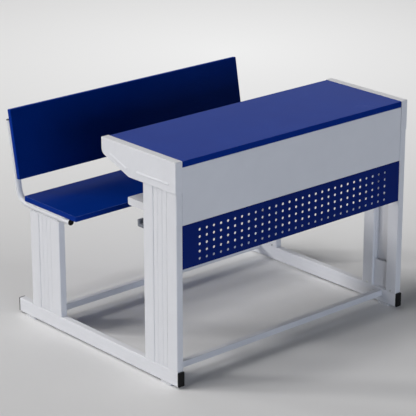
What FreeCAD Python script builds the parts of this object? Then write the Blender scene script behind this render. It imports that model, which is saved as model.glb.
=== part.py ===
import FreeCAD, Part
import math
import os

from FreeCAD import Vector

# A two-seat school desk with its bench on the same pair of end frames.
# Millimetres, +Z up, +X along the desk, bench towards +Y.
# While it is modelled, y = 0 is the desk's front face; the finished solids are then
# moved so that the origin lies on the floor under the middle of the whole object.

# Overall sizes
desk_height = 760.0
seat_height = 445.0
frame_width = 1030.0
fit_clearance = 0.3

# Base rails, their end caps and the glide pads under them
rail_width = 25.0
rail_height = 50.0
rail_tail = 76.5
rail_wall = 2.0
rail_radius = 3.0
cap_lip = 6.0
cap_plug_length = 18.0
cap_round = 2.0
pad_height = 7.0
pad_length = 50.0
pad_setback = 34.0
pad_round = 1.5
pad_peg_radius = 4.0
pad_peg_length = 8.0

# Columns: two posts each, a fluted web between them and a gusset at the foot
column_width = 162.0
post_share = 0.3
post_wall = 1.5
post_radius = 3.0
web_recess = 1.0
web_thickness = 2.0
web_flange = 15.0
web_bend_radius = 1.8
flute_spread = 23.0
flute_radius = 2.0
flute_depth = 0.8
gusset_height = 100.0
gusset_thickness = 3.0
spigot_height = 60.0
spigot_wall = 3.0
seat_column_offset = 32.5

# Cross rails between the base rails
cross_rail_size = 22.0
cross_rail_wall = 1.5
cross_rail_radius = 2.0
cross_rail_lift = 22.0
front_cross_rail_start = 66.5
rear_cross_rail_inset = 48.0

# Desk arms on top of the desk columns
arm_length = 365.0
arm_depth = 103.0
arm_overhang = 2.5
arm_nose_height = 53.0
arm_slope_foot = 229.0
arm_corner_radius = 3.0
arm_nose_radius = 22.0
arm_bend_radius = 24.0
arm_edge_round = 1.8
arm_pocket_wall = 6.0
arm_beam_depth = 52.0
arm_pocket_depth = 21.0
arm_rib = 4.0
tenon_length = 45.0
ridge_height = 7.0
ridge_lift = 2.0
level_ridge_start = 35.0
level_ridge_length = 153.0
level_ridge_rise = 24.0
slant_ridge_start = 18.0
slant_ridge_length = 88.0
slant_ridge_rise = 18.0

# Desktop and the angle brackets that carry it
desktop_depth = 360.0
desktop_thickness = 20.0
desktop_inset = 1.0
board_edging = 2.0
board_edge_round = 1.2
board_corner_radius = 4.0
angle_size = 25.0
angle_thickness = 3.0
angle_start = 26.0
angle_length = 312.0

# Sheet steel: upper front panel, book tray and perforated lower panel
sheet = 1.5
sheet_bend_radius = 2.0
panel_setback = 1.0
panel_flange = 22.0
front_panel_height = 191.0
tray_depth = 268.0
tray_edge = 25.0
tray_return = 22.0
tray_bend_radius = 7.0
lower_panel_height = 145.7
lower_panel_flange = 26.0
hole_rows = 5
hole_columns = 29
hole_radius = 4.5
hole_pitch_along = 29.9
hole_pitch_up = 24.3
hole_top_drop = 27.0
panel_rail_size = 22.0
panel_rail_wall = 1.5
panel_rail_radius = 2.0

# Seat and backrest boards
seat_thickness = 18.0
backrest_thickness = 15.0
seat_front = 513.0
seat_depth = 286.0
backrest_height = 244.3
backrest_gap = 23.4
backrest_rise = 51.7
backrest_lean = 10.0

# Bent tubes that carry the seat and the backrest
column_plate_thickness = 3.0
tube_radius = 11.0
tube_wall = 1.5
tube_setback = 44.0
tube_bend_radius = 50.0
tube_top_along_back = 204.8
weld_gap = 0.3
plug_lip = 3.0
plug_length = 15.0
plug_round = 1.2
plate_thickness = 3.0
plate_width = 60.0
seat_plate_setback = 62.0
seat_plate_length = 200.0
back_plate_start = 28.3
back_plate_length = 170.0

# Bag hooks on the rear face of the desk columns
hook_width = 20.0
hook_drop = 155.5
hook_plate_height = 34.0
hook_plate_thickness = 4.0
hook_reach = 31.0
hook_arm_thickness = 9.0
hook_tip_height = 24.0
hook_tip_thickness = 8.0
hook_round = 2.0

# Screws
screw_radius = 2.0
screw_head_radius = 3.6
screw_head_height = 2.2
screw_head_round = 1.2
socket_sides = 6
socket_radius = 1.7
socket_depth = 1.3
screw_clearance = 0.2
sheet_screw_length = 9.0
board_screw_bite = 11.0
tenon_screw_length = 14.0
post_screw_rise = 4.5
arm_screw_drop = 20.0
arm_screw_shift = 8.0
tray_screw_rise = 15.0
panel_screw_rise = 36.0
panel_screw_drop = 18.0
lower_panel_screw_spacing = 80.0
board_screw_inset = 16.0
plate_screw_margin = 22.0
angle_screw_margin = 34.0
hook_screw_drop = 7.0

# Values worked out from the sizes above
outer_x = frame_width / 2
inner_x = outer_x - rail_width
post_x = outer_x - rail_width / 2
frame_x = (-outer_x, -inner_x)
rail_bottom = pad_height
rail_top = rail_bottom + rail_height
arm_bottom = desk_height - arm_depth
arm_outer_x = outer_x + arm_overhang
desktop_top = desk_height - desktop_inset
desktop_bottom = desktop_top - desktop_thickness
sheet_half = inner_x - fit_clearance
panel_back = panel_setback + sheet
front_panel_top = desktop_bottom - fit_clearance
front_panel_bottom = front_panel_top - front_panel_height
tray_bottom = front_panel_bottom + sheet
tray_top = tray_bottom + tray_edge
lower_panel_top = front_panel_bottom - fit_clearance
lower_panel_bottom = lower_panel_top - lower_panel_height
hook_bottom = arm_bottom - hook_drop
board_half = outer_x
seat_bottom = seat_height - seat_thickness
seat_plate_bottom = seat_bottom - plate_thickness
seat_plate_start = seat_front + seat_plate_setback
tube_axis_z = seat_plate_bottom - weld_gap - tube_radius
tube_front = seat_front + tube_setback
back_axis_offset = backrest_thickness + plate_thickness + weld_gap + tube_radius
backrest_foot_y = seat_front + seat_depth + backrest_gap
backrest_foot_z = seat_height + backrest_rise
post_width = column_width * post_share
seat_column_top = tube_axis_z - tube_radius - weld_gap
seat_column_front = seat_front + (seat_depth - column_width) / 2 + seat_column_offset
seat_column_rear = seat_column_front + column_width
rail_length = seat_column_rear + rail_tail
rear_cross_rail_start = seat_column_rear - cross_rail_size - rear_cross_rail_inset
column_fronts = {"desk": 0.0, "seat": seat_column_front}
column_tops = {"desk": arm_bottom, "seat": seat_column_top - column_plate_thickness}
post_starts = {"front": 0.0, "rear": column_width - post_width}

# Every finished piece, by the name of its file
pieces = {}

# Two places nearer than this are the same place
same_place = 1e-4

AXES = {"x": Vector(1, 0, 0), "y": Vector(0, 1, 0), "z": Vector(0, 0, 1)}


# Small helpers

def block(x_range, y_range, z_range):
    """A plain box between the given limits."""
    size = [high - low for low, high in (x_range, y_range, z_range)]
    return Part.makeBox(*size, Vector(x_range[0], y_range[0], z_range[0]))


def edges_along(shape, axis):
    """The straight edges of a shape that run along one axis."""
    found = []
    for edge in shape.Edges:
        straight = edge.Curve.TypeId == "Part::GeomLine"
        if straight and edge.Curve.Direction.cross(AXES[axis]).Length < same_place:
            found.append(edge)
    return found


def edges_on(shape, axis, level):
    """The edges of a shape that lie in the plane where one coordinate has a given value."""
    found = []
    for edge in shape.Edges:
        box = edge.BoundBox
        low = {"x": box.XMin, "y": box.YMin, "z": box.ZMin}[axis]
        high = {"x": box.XMax, "y": box.YMax, "z": box.ZMax}[axis]
        if abs(low - level) < same_place and abs(high - level) < same_place:
            found.append(edge)
    return found


def corner_along_x(shape, y, z):
    """The edge of a shape that runs along X at a given y and z, as a list for a fillet."""
    found = []
    for edge in edges_on(shape, "z", z):
        if abs(edge.BoundBox.YMin - y) < same_place and abs(edge.BoundBox.YMax - y) < same_place:
            found.append(edge)
    return found


def rim_round(shape, centre):
    """The circular edge of a shape round a given centre, as a list for a fillet."""
    circles = [edge for edge in shape.Edges if edge.Curve.TypeId == "Part::GeomCircle"]
    return [edge for edge in circles if (edge.Curve.Center - centre).Length < same_place]


def bar(x_range, y_range, z_range, axis, radius):
    """A bar along one axis with its long edges rounded."""
    solid = block(x_range, y_range, z_range)
    return solid.makeFillet(radius, edges_along(solid, axis))


def inside(limits, margin):
    """A pair of limits drawn in by a margin at both ends."""
    return (limits[0] + margin, limits[1] - margin)


def tube(x_range, y_range, z_range, axis, radius, wall):
    """A rectangular tube along one axis, open at both ends."""
    ranges = {"x": x_range, "y": y_range, "z": z_range}
    outer = bar(x_range, y_range, z_range, axis, radius)
    bore = {name: inside(limits, wall) for name, limits in ranges.items()}
    bore[axis] = inside(ranges[axis], -wall)
    return outer.cut(bar(bore["x"], bore["y"], bore["z"], axis, radius - wall / 2))


def rounded_wire(corners):
    """A closed wire through corner points, each corner rounded by its own radius."""
    edges = []
    count = len(corners)
    starts = []
    ends = []
    for index, (point, radius) in enumerate(corners):
        before = (corners[index - 1][0] - point).normalize()
        after = (corners[(index + 1) % count][0] - point).normalize()
        half = before.getAngle(after) / 2
        reach = radius / math.tan(half)
        starts.append(point + before * reach)
        ends.append(point + after * reach)
        if radius > 0:
            middle = (before + after).normalize()
            apex = point + middle * (radius / math.sin(half) - radius)
            edges.append(Part.Arc(starts[-1], apex, ends[-1]).toShape())
    for index in range(count):
        following = starts[(index + 1) % count]
        if (following - ends[index]).Length > same_place:
            edges.append(Part.LineSegment(ends[index], following).toShape())
    return Part.Wire(Part.__sortEdges__(edges))


def side_profile(corners, x_start, x_end):
    """A solid drawn in the side view as (y, z, radius) corners and drawn out along X."""
    wire = rounded_wire([(Vector(x_start, y, z), radius) for y, z, radius in corners])
    return Part.Face(wire).extrude(Vector(x_end - x_start, 0, 0))


def mirrored(shape):
    """The same piece on the other end frame."""
    return shape.mirror(Vector(0, 0, 0), AXES["x"])


def add_pair(name, shape):
    """Keep a left-hand piece and its right-hand mirror image."""
    pieces["left_" + name] = shape
    pieces["right_" + name] = mirrored(shape)


def with_mirror(shapes):
    """A list of left-hand solids followed by their right-hand mirror images."""
    return shapes + [mirrored(shape) for shape in shapes]


def leaned(shape):
    """A piece drawn upright behind the backrest's foot, turned to the backrest's lean."""
    moved = shape.copy()
    moved.translate(Vector(0, backrest_foot_y, backrest_foot_z))
    moved.rotate(Vector(0, backrest_foot_y, backrest_foot_z), AXES["x"], -backrest_lean)
    return moved


def leaned_point(y, z):
    """A point of the backrest's upright drawing, turned to its place."""
    lean = math.radians(backrest_lean)
    return Vector(
        -post_x,
        backrest_foot_y + y * math.cos(lean) + z * math.sin(lean),
        backrest_foot_z - y * math.sin(lean) + z * math.cos(lean),
    )


def driver_socket(crown, direction):
    """The six-sided hole in the crown of a screw's head."""
    across = AXES["x"] if abs(direction.x) < same_place else AXES["y"]
    turn = FreeCAD.Rotation(direction, 360 / socket_sides)
    spokes = [across * socket_radius]
    while len(spokes) <= socket_sides:
        spokes.append(turn.multVec(spokes[-1]))
    outline = Part.makePolygon([crown + spoke for spoke in spokes[:-1]] + [crown + spokes[0]])
    return Part.Face(outline).extrude(direction * socket_depth)


def screw(point, direction, length):
    """A pan-head screw: the head stands on the point, the shank runs along the direction."""
    crown = point - direction * screw_head_height
    head = Part.makeCylinder(screw_head_radius, screw_head_height, point, direction * -1)
    head = head.makeFillet(screw_head_round, rim_round(head, crown))
    shank = Part.makeCylinder(screw_radius, length, point, direction)
    return head.fuse(shank).cut(driver_socket(crown, direction)).removeSplitter()


def screw_hole(point, direction, length):
    """The hole that a screw of the same place and length passes through."""
    radius = screw_radius + screw_clearance
    mouth = point - direction * screw_clearance
    return Part.makeCylinder(radius, length + 2 * screw_clearance, mouth, direction)


def drilled(shape, places, direction, length):
    """A piece with a screw hole at each place."""
    holes = [screw_hole(place, direction, length) for place in places]
    return shape.cut(Part.makeCompound(holes))


# Where the screws sit on the left-hand frame

outwards = Vector(-1, 0, 0)
upwards = Vector(0, 0, 1)
forwards = Vector(0, -1, 0)


def post_middle(column, post):
    """The y of a post's centre line."""
    return column_fronts[column] + post_starts[post] + post_width / 2


post_screw_places = [
    Vector(-inner_x, post_middle(column, place), rail_top + post_screw_rise)
    for column in column_fronts for place in post_starts
]
arm_screw_places = [
    Vector(-inner_x, post_middle("desk", place) + arm_screw_shift, arm_bottom - arm_screw_drop)
    for place in post_starts
]
tray_screw_places = [
    Vector(-sheet_half + sheet, post_middle("desk", place), tray_bottom + tray_screw_rise)
    for place in post_starts
]
panel_screw_y = panel_setback + panel_flange / 2
panel_post_screw = Vector(-sheet_half + sheet, panel_screw_y, front_panel_bottom + panel_screw_rise)
panel_arm_screw = Vector(-sheet_half + sheet, panel_screw_y, desktop_bottom - panel_screw_drop)
lower_panel_middle_z = (lower_panel_bottom + lower_panel_top) / 2
lower_panel_screw_places = [
    Vector(-sheet_half + sheet, panel_screw_y, lower_panel_middle_z + step * lower_panel_screw_spacing / 2)
    for step in (-1, 1)
]
angle_screw_ys = [
    angle_start + angle_screw_margin,
    angle_start + angle_length / 2,
    angle_start + angle_length - angle_screw_margin,
]
angle_middle = (angle_size + angle_thickness) / 2
desktop_screw_places = [
    Vector(-inner_x + angle_middle, y, desktop_bottom - angle_thickness) for y in angle_screw_ys
]
angle_screw_places = [
    Vector(-inner_x + angle_thickness, y, desktop_bottom - angle_middle) for y in angle_screw_ys
]
plate_inner_x = outer_x - plate_width
seat_screw_places = [
    Vector(-plate_inner_x - board_screw_inset, seat_plate_start + offset, seat_plate_bottom)
    for offset in (plate_screw_margin, seat_plate_length / 2, seat_plate_length - plate_screw_margin)
]
backrest_screw_places = [
    Vector(-plate_inner_x - board_screw_inset, backrest_thickness + plate_thickness, back_plate_start + offset)
    for offset in (plate_screw_margin, back_plate_length / 2, back_plate_length - plate_screw_margin)
]
hook_screw_place = Vector(
    -post_x,
    column_width + hook_plate_thickness,
    hook_bottom + hook_plate_height - hook_screw_drop,
)
board_screw_length = plate_thickness + board_screw_bite
desktop_screw_length = angle_thickness + board_screw_bite


# Base rails with caps and pads

def base_rail():
    """A rectangular tube on the floor pads, drilled underneath for the pads' pegs."""
    rail = tube(frame_x, (0, rail_length), (rail_bottom, rail_top), "y", rail_radius, rail_wall)
    for start in pad_starts:
        place = Vector(-post_x, start + pad_length / 2, rail_bottom - fit_clearance)
        hole = Part.makeCylinder(pad_peg_radius + fit_clearance, rail_wall + 2 * fit_clearance, place)
        rail = rail.cut(hole)
    return rail


def rail_cap(seat_y, direction):
    """A plastic cap: a lip as large as the rail and a plug that fits in it."""
    lip_end = seat_y + direction * cap_lip
    lip_range = (min(seat_y, lip_end), max(seat_y, lip_end))
    lip = bar(frame_x, lip_range, (rail_bottom, rail_top), "y", rail_radius)
    lip = lip.makeFillet(cap_round, edges_on(lip, "y", lip_end))
    margin = rail_wall + fit_clearance
    plug_end = seat_y - direction * cap_plug_length
    plug = bar(
        inside(frame_x, margin),
        (min(seat_y, plug_end), max(seat_y, plug_end)),
        inside((rail_bottom, rail_top), margin),
        "y",
        rail_radius - rail_wall / 2,
    )
    return lip.fuse(plug).removeSplitter()


def glide_pad(start):
    """A flat pad under the rail with a peg that stands in the rail's hole."""
    pad = bar(frame_x, (start, start + pad_length), (0, pad_height), "z", pad_round)
    place = Vector(-post_x, start + pad_length / 2, pad_height)
    return pad.fuse(Part.makeCylinder(pad_peg_radius, pad_peg_length, place)).removeSplitter()


pad_starts = (pad_setback, rail_length - pad_setback - pad_length)
add_pair("base_rail", base_rail())
add_pair("front_cap", rail_cap(0.0, -1))
add_pair("rear_cap", rail_cap(rail_length, 1))
add_pair("front_pad", glide_pad(pad_starts[0]))
add_pair("rear_pad", glide_pad(pad_starts[1]))


# Columns

def post(column, place):
    """One post of a column, with the holes for its screws."""
    start = column_fronts[column] + post_starts[place]
    y_range = (start, start + post_width)
    solid = tube(frame_x, y_range, (rail_top, column_tops[column]), "z", post_radius, post_wall)
    drill = post_wall + 2 * fit_clearance
    solid = drilled(solid, post_screw_places, outwards, drill)
    if column == "desk":
        solid = drilled(solid, arm_screw_places, outwards, drill)
        sheet_drill = sheet + fit_clearance + drill
        sheet_places = tray_screw_places + lower_panel_screw_places + [panel_post_screw]
        solid = drilled(solid, sheet_places, outwards, sheet_drill)
        hook_drill = hook_plate_thickness + drill
        solid = drilled(solid, [hook_screw_place], forwards, hook_drill)
    return solid


def spigot(column, place):
    """A short tube welded on the base rail, which stands inside the foot of a post."""
    start = column_fronts[column] + post_starts[place]
    margin = post_wall + fit_clearance
    solid = tube(
        inside(frame_x, margin),
        inside((start, start + post_width), margin),
        (rail_top, rail_top + spigot_height),
        "z",
        post_radius - post_wall / 2,
        spigot_wall,
    )
    return drilled(solid, post_screw_places, outwards, margin + spigot_wall)


def web(column):
    """A folded, fluted plate between the two posts, set back a little from their outer faces."""
    start = column_fronts[column] + post_width
    end = column_fronts[column] + column_width - post_width
    face_x = -outer_x + web_recess
    z_range = (rail_top, column_tops[column])
    folded = block((face_x, face_x + web_flange), (start, end), z_range)
    outer_edges = edges_on(folded, "x", face_x)
    bends = [edge for edge in outer_edges if edge.Length > z_range[1] - z_range[0] - same_place]
    folded = folded.makeFillet(web_bend_radius, bends)
    hollow = block(
        (face_x + web_thickness, face_x + web_flange + web_thickness),
        inside((start, end), web_thickness),
        inside(z_range, -web_thickness),
    )
    folded = folded.cut(hollow)
    flute_x = face_x + flute_depth - flute_radius
    flute_length = column_tops[column] - rail_top + 2 * flute_depth
    for side in (-1, 1):
        place = Vector(flute_x, (start + end + side * flute_spread) / 2, rail_top - flute_depth)
        folded = folded.cut(Part.makeCylinder(flute_radius, flute_length, place))
    return folded


def gusset(column):
    """A stiffening plate across the foot of the column, between the flanges of the web."""
    start = column_fronts[column] + post_width + web_thickness
    end = column_fronts[column] + column_width - post_width - web_thickness
    edge_x = -outer_x + web_recess + web_flange
    return block((edge_x - gusset_thickness, edge_x), (start, end), (rail_top, rail_top + gusset_height))


gussets = []
spigots = []
for column in column_fronts:
    for place in post_starts:
        add_pair(column + "_" + place + "_post", post(column, place))
        spigots.append(spigot(column, place))
    add_pair(column + "_web", web(column))
    gussets.append(gusset(column))
pieces["column_gussets"] = Part.makeCompound(with_mirror(gussets))
pieces["post_spigots"] = Part.makeCompound(with_mirror(spigots))


# Cross rails

def cross_rail(start):
    """A square tube between the two base rails."""
    bottom = rail_bottom + cross_rail_lift
    return tube(
        (-inner_x, inner_x),
        (start, start + cross_rail_size),
        (bottom, bottom + cross_rail_size),
        "x",
        cross_rail_radius,
        cross_rail_wall,
    )


pieces["front_cross_rail"] = cross_rail(front_cross_rail_start)
pieces["rear_cross_rail"] = cross_rail(rear_cross_rail_start)


# Desk arms

slope_rise = arm_depth - arm_nose_height
slope_run = arm_length - arm_slope_foot
slope_angle = math.atan2(slope_rise, slope_run)


def ridge(length):
    """A low moulded ridge: flat underneath, sloping above, drawn along +Y from the origin."""
    corners = [
        Vector(-arm_outer_x + arm_edge_round, 0, 0),
        Vector(-arm_outer_x - ridge_lift, 0, 0),
        Vector(-arm_outer_x, 0, ridge_height),
        Vector(-arm_outer_x + arm_edge_round, 0, ridge_height),
    ]
    return Part.Face(Part.makePolygon(corners + corners[:1])).extrude(Vector(0, length, 0))


def level_ridge():
    """The ridge along the foot of the arm, above the column."""
    solid = ridge(level_ridge_length)
    solid.translate(Vector(0, level_ridge_start, arm_bottom + level_ridge_rise))
    return solid


def slant_ridge():
    """The ridge that follows the sloping underside of the arm."""
    solid = ridge(slant_ridge_length)
    solid.translate(Vector(0, slant_ridge_start, slant_ridge_rise))
    solid.rotate(Vector(0, 0, 0), AXES["x"], math.degrees(slope_angle))
    solid.translate(Vector(0, arm_slope_foot, arm_bottom))
    return solid


def arm_pockets():
    """Hollows on the inner side of the arm, over each post, with a rib between them."""
    low = arm_bottom + arm_pocket_wall
    high = desk_height - arm_beam_depth
    x_range = (-inner_x - arm_pocket_depth, -inner_x + fit_clearance)
    middle = column_width / 2
    front = block(x_range, (arm_pocket_wall, middle - arm_rib / 2), (low, high))
    rear = block(x_range, (middle + arm_rib / 2, column_width - arm_pocket_wall), (low, high))
    return [front, rear]


def tenon(place):
    """A block under the arm that stands in the top of a post."""
    start = post_starts[place]
    margin = post_wall + fit_clearance
    return bar(
        inside(frame_x, margin),
        inside((start, start + post_width), margin),
        (arm_bottom - tenon_length, arm_bottom),
        "z",
        post_radius - post_wall / 2,
    )


def desk_arm():
    """A moulded arm that stands on the desk column and holds up one end of the desktop."""
    corners = [
        (0.0, arm_bottom, 0.0),
        (0.0, desk_height, arm_corner_radius),
        (arm_length, desk_height, arm_corner_radius),
        (arm_length, desk_height - arm_nose_height, arm_nose_radius),
        (arm_slope_foot, arm_bottom, arm_bend_radius),
    ]
    body = side_profile(corners, -inner_x, -arm_outer_x)
    body = body.makeFillet(arm_edge_round, edges_on(body, "x", -arm_outer_x))
    body = body.cut(Part.makeCompound(arm_pockets()))
    tenons = [tenon(place) for place in post_starts]
    body = body.fuse(tenons + [level_ridge(), slant_ridge()]).removeSplitter()
    body = drilled(body, arm_screw_places, outwards, tenon_screw_length)
    body = drilled(body, [panel_arm_screw], outwards, sheet_screw_length)
    return drilled(body, angle_screw_places, outwards, angle_thickness + board_screw_bite)


add_pair("desk_arm", desk_arm())


# Boards with their edging

def board_outline(half_length, depth, thickness):
    """A board's full outer shape, front edge on y = 0 and underside on z = 0."""
    solid = bar((-half_length, half_length), (0, depth), (0, thickness), "z", board_corner_radius)
    rims = edges_on(solid, "z", 0) + edges_on(solid, "z", thickness)
    return solid.makeFillet(board_edge_round, rims)


def board_core(half_length, depth, thickness):
    """The board inside its edging."""
    return block(
        inside((-half_length, half_length), board_edging), inside((0, depth), board_edging), (0, thickness)
    )


def edged_board(name, half_length, depth, thickness, place, screw_places, direction, screw_length):
    """Keep a drilled board and the edging round it; place moves both from the drawing board."""
    outline = board_outline(half_length, depth, thickness)
    core = board_core(half_length, depth, thickness)
    holes = screw_places + [Vector(-point.x, point.y, point.z) for point in screw_places]
    pieces[name] = drilled(place(core), holes, direction, screw_length)
    pieces[name + "_edging"] = place(outline.cut(core))


def lifted(y, z):
    """A function that moves a level board to its place."""
    def place(shape):
        moved = shape.copy()
        moved.translate(Vector(0, y, z))
        return moved
    return place


def stood_up(shape):
    """Stand a level board on its front edge, its thickness running back from y = 0."""
    moved = shape.copy()
    moved.rotate(Vector(0, 0, 0), AXES["x"], 90)
    moved.translate(Vector(0, backrest_thickness, 0))
    return moved


edged_board(
    "desktop", sheet_half, desktop_depth, desktop_thickness, lifted(0, desktop_bottom),
    desktop_screw_places, upwards, desktop_screw_length,
)
edged_board(
    "seat", board_half, seat_depth, seat_thickness, lifted(seat_front, seat_bottom),
    seat_screw_places, upwards, board_screw_length,
)
edged_board(
    "backrest", board_half, backrest_height, backrest_thickness, stood_up,
    backrest_screw_places, forwards, board_screw_length,
)
for name in ("backrest", "backrest_edging"):
    pieces[name] = leaned(pieces[name])


# Angle brackets under the desktop

def desktop_angle():
    """An angle screwed to the arm's inner face, on which the desktop lies."""
    y_range = (angle_start, angle_start + angle_length)
    upright = block(
        (-inner_x, -inner_x + angle_thickness), y_range, (desktop_bottom - angle_size, desktop_bottom)
    )
    shelf = block(
        (-inner_x, -inner_x + angle_size), y_range, (desktop_bottom - angle_thickness, desktop_bottom)
    )
    angle = upright.fuse(shelf).removeSplitter()
    angle = drilled(angle, desktop_screw_places, upwards, desktop_screw_length)
    return drilled(angle, angle_screw_places, outwards, angle_thickness + board_screw_bite)


add_pair("desktop_angle", desktop_angle())


# Sheet steel panels and the book tray

def panel_pan(bottom, top, flange):
    """A flat panel with its four edges folded back."""
    x_range = (-sheet_half, sheet_half)
    y_range = (panel_setback, panel_setback + flange)
    outer = block(x_range, y_range, (bottom, top))
    outer = outer.makeFillet(sheet_bend_radius, edges_on(outer, "y", panel_setback))
    hollow = block(
        inside(x_range, sheet), (panel_back, panel_setback + flange + sheet), inside((bottom, top), sheet)
    )
    return outer.cut(hollow)


def both_ends(places):
    """Screw places on the left-hand frame and their mirror images."""
    return places, [Vector(-place.x, place.y, place.z) for place in places]


def drilled_both_ends(shape, places, length):
    """A piece between the frames, drilled through at both its ends."""
    left, right = both_ends(places)
    return drilled(drilled(shape, left, outwards, length), right, outwards * -1, length)


def front_panel():
    """The upper panel: the front wall of the book space, cut out at its lower corners for the tray."""
    pan = panel_pan(front_panel_bottom, front_panel_top, panel_flange)
    notch = block(
        (-sheet_half - sheet, -sheet_half + sheet),
        (panel_back, panel_setback + panel_flange + sheet),
        (tray_bottom, tray_top - sheet + fit_clearance),
    )
    pan = pan.cut(Part.makeCompound([notch, mirrored(notch)]))
    return drilled_both_ends(pan, [panel_post_screw, panel_arm_screw], sheet)


def book_tray():
    """A flat tray with boxed edges, open underneath, on the front panel's fold.

    Its top is cut back at the front corners, where the side flanges of the panel come down.
    """
    x_range = (-sheet_half, sheet_half)
    y_range = (panel_back, tray_depth)
    outer = block(x_range, y_range, (tray_bottom, tray_top))
    outer = outer.makeFillet(tray_bend_radius, corner_along_x(outer, tray_depth, tray_bottom))
    between_ends = inside(x_range, sheet)
    hollow = block(between_ends, inside(y_range, sheet), inside((tray_bottom, tray_top), sheet))
    inner_bend = corner_along_x(hollow, tray_depth - sheet, tray_bottom + sheet)
    hollow = hollow.makeFillet(tray_bend_radius - sheet, inner_bend)
    underside_z = (tray_bottom - sheet, tray_bottom + 2 * sheet)
    underside = block(between_ends, inside(y_range, tray_return), underside_z)
    relief = block(
        (-sheet_half - sheet, -sheet_half + sheet + fit_clearance),
        (panel_setback, panel_setback + panel_flange + fit_clearance),
        (tray_top - sheet, tray_top + sheet),
    )
    tray = outer.cut(hollow).cut(underside).cut(Part.makeCompound([relief, mirrored(relief)]))
    return drilled_both_ends(tray, tray_screw_places, sheet)


def perforated_panel():
    """The lower panel, with its grid of round holes."""
    pan = panel_pan(lower_panel_bottom, lower_panel_top, lower_panel_flange)
    first_x = -hole_pitch_along * (hole_columns - 1) / 2
    top_z = lower_panel_top - hole_top_drop
    holes = []
    for column in range(hole_columns):
        x = first_x + column * hole_pitch_along
        for row in range(hole_rows):
            place = Vector(x, panel_setback - sheet, top_z - row * hole_pitch_up)
            holes.append(Part.makeCylinder(hole_radius, 3 * sheet, place, AXES["y"]))
    pan = pan.cut(Part.makeCompound(holes))
    return drilled_both_ends(pan, lower_panel_screw_places, sheet)


def panel_rail():
    """A square tube inside the lower panel's bottom fold, which stiffens it."""
    end = sheet_half - sheet
    bottom = lower_panel_bottom + sheet
    return tube(
        (-end, end),
        (panel_back, panel_back + panel_rail_size),
        (bottom, bottom + panel_rail_size),
        "x",
        panel_rail_radius,
        panel_rail_wall,
    )


pieces["front_panel"] = front_panel()
pieces["book_tray"] = book_tray()
pieces["perforated_panel"] = perforated_panel()
pieces["panel_rail"] = panel_rail()


# Seat tubes, their plugs and the plates that join them to the boards

upright_foot = leaned_point(back_axis_offset, 0)
upright_top = leaned_point(back_axis_offset, tube_top_along_back)
lean_angle = math.radians(backrest_lean)
corner_y = upright_foot.y - (upright_foot.z - tube_axis_z) * math.tan(lean_angle)
tube_corner = Vector(-post_x, corner_y, tube_axis_z)
tube_start = Vector(-post_x, tube_front, tube_axis_z)
upright_direction = (upright_top - tube_corner).normalize()


def tube_path():
    """The tube's centre line: back under the seat, round one bend and up behind the backrest."""
    turn = math.pi / 2 - lean_angle
    reach = tube_bend_radius * math.tan(turn / 2)
    bend_start = tube_corner - AXES["y"] * reach
    bend_end = tube_corner + upright_direction * reach
    inward = (upright_direction - AXES["y"]).normalize()
    apex_depth = tube_bend_radius / math.cos(turn / 2) - tube_bend_radius
    apex = tube_corner + inward * apex_depth
    return Part.Wire([
        Part.LineSegment(tube_start, bend_start).toShape(),
        Part.Arc(bend_start, apex, bend_end).toShape(),
        Part.LineSegment(bend_end, upright_top).toShape(),
    ])


def pipe(radius):
    """A round bar along the tube's centre line."""
    section = Part.Wire([Part.makeCircle(radius, tube_start, AXES["y"])])
    return tube_path().makePipeShell([section], True, False)


def tube_plug(end, direction):
    """A round plug: a lip as wide as the tube and a shank that fits in it."""
    lip = Part.makeCylinder(tube_radius, plug_lip, end, direction)
    lip = lip.makeFillet(plug_round, rim_round(lip, end + direction * plug_lip))
    shank = Part.makeCylinder(tube_radius - tube_wall - fit_clearance, plug_length, end, direction * -1)
    return lip.fuse(shank).removeSplitter()


def column_plate():
    """The plate that closes the top of the seat column and carries the tube."""
    return block(
        frame_x,
        (seat_column_front, seat_column_rear),
        (seat_column_top - column_plate_thickness, seat_column_top),
    )


def seat_plate():
    """A flat plate on top of the tube, screwed under the seat."""
    plate = bar(
        (-outer_x, -plate_inner_x),
        (seat_plate_start, seat_plate_start + seat_plate_length),
        (seat_plate_bottom, seat_bottom),
        "z",
        board_corner_radius,
    )
    return drilled(plate, seat_screw_places, upwards, board_screw_length)


def back_plate():
    """A flat plate in front of the tube, screwed behind the backrest."""
    plate = bar(
        (-outer_x, -plate_inner_x),
        (backrest_thickness, backrest_thickness + plate_thickness),
        (back_plate_start, back_plate_start + back_plate_length),
        "y",
        board_corner_radius,
    )
    return leaned(drilled(plate, backrest_screw_places, forwards, board_screw_length))


add_pair("seat_tube", pipe(tube_radius).cut(pipe(tube_radius - tube_wall)))
add_pair("tube_front_plug", tube_plug(tube_start, forwards))
add_pair("tube_top_plug", tube_plug(upright_top, upright_direction))
add_pair("column_plate", column_plate())
add_pair("seat_plate", seat_plate())
add_pair("back_plate", back_plate())


# Bag hooks

def bag_hook():
    """A moulded hook behind the desk column: a screwed plate, an arm and an upturned tip."""
    plate_y = column_width + hook_plate_thickness
    tip_y = column_width + hook_reach
    arm_top = hook_bottom + hook_arm_thickness
    plate_top = hook_bottom + hook_plate_height
    tip_top = hook_bottom + hook_tip_height
    corners = [
        (column_width, hook_bottom, 0.0),
        (column_width, plate_top, 0.0),
        (plate_y, plate_top, hook_round),
        (plate_y, arm_top, hook_round),
        (tip_y - hook_tip_thickness, arm_top, hook_round),
        (tip_y - hook_tip_thickness, tip_top, hook_round),
        (tip_y, tip_top, hook_round),
        (tip_y, hook_bottom, 2 * hook_round),
    ]
    hook = side_profile(corners, -post_x - hook_width / 2, -post_x + hook_width / 2)
    return drilled(hook, [hook_screw_place], forwards, hook_plate_thickness)


add_pair("bag_hook", bag_hook())


# Screws, one group for each job

def screw_group(places, direction, length):
    """Screws on the left-hand frame and their mirror images."""
    return with_mirror([screw(place, direction, length) for place in places])


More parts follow.
